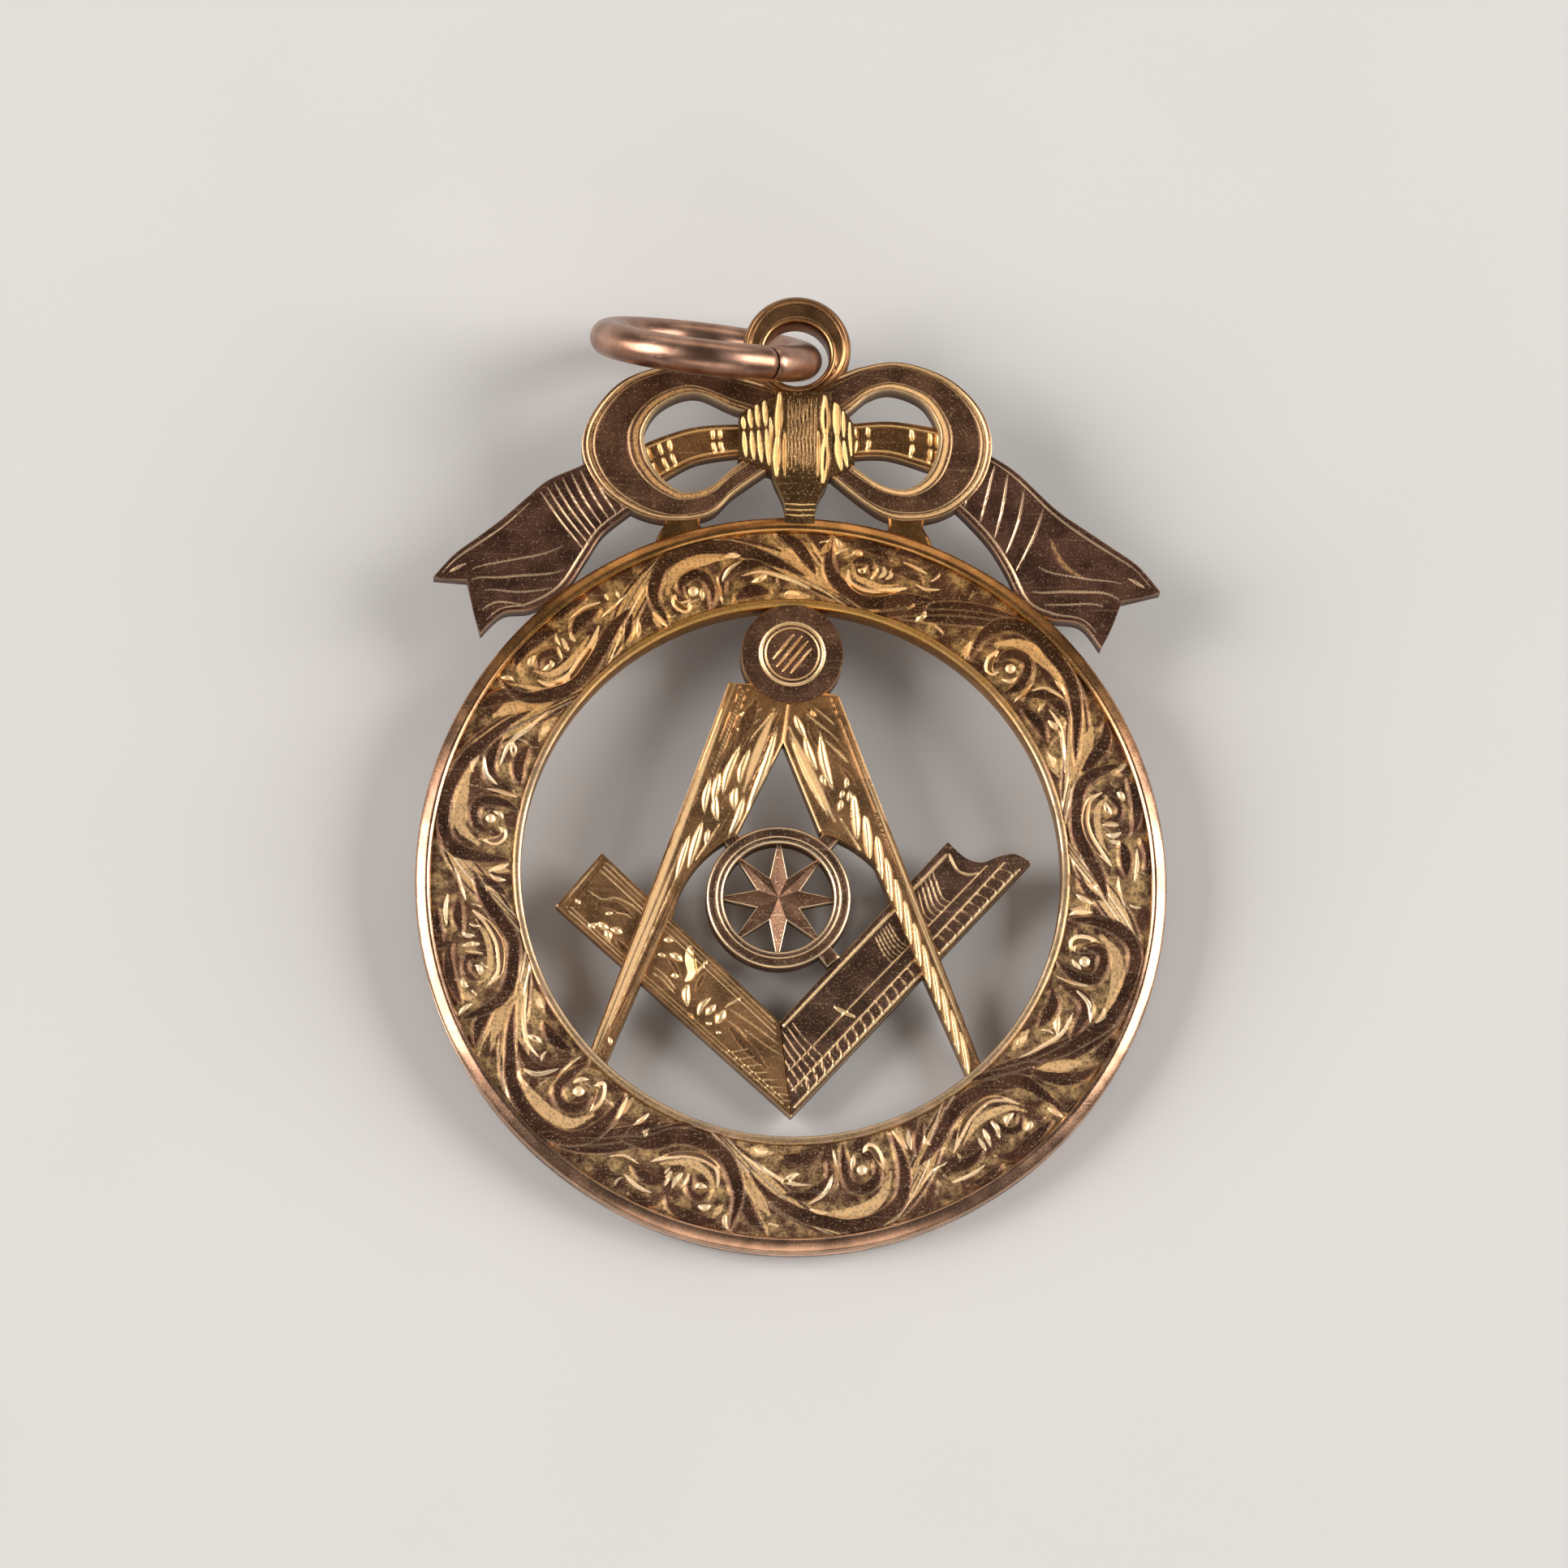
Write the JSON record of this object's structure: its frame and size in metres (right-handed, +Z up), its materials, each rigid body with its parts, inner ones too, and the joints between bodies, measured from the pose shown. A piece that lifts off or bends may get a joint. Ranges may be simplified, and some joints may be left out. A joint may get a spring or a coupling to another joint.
{
  "type": "masonic watch fob",
  "caption": "Pierced and engraved gold watch fob: round scrolled ring with compasses over a set square, ribbon bow, eye and loose jump ring.",
  "frame": {"origin": "on the surface that the fob lies on, under the middle of its box", "axes": "+X across the fob, +Y from the ring towards the bow and the eye, +Z up. The fob lies face up, its far end raised on the jump ring"},
  "size_m": [0.027, 0.0354, 0.0078],
  "materials": {
    "engraved_gold": "nine carat gold, pierced and bright-cut engraved, polished on the rims and darkly tarnished in the ground",
    "rose_gold_wire": "polished rose gold wire, lightly worn"
  },
  "bodies": {
    "root": {"fob_plate": "engraved_gold", "jump_ring": "rose_gold_wire"}
  },
  "joints": []
}
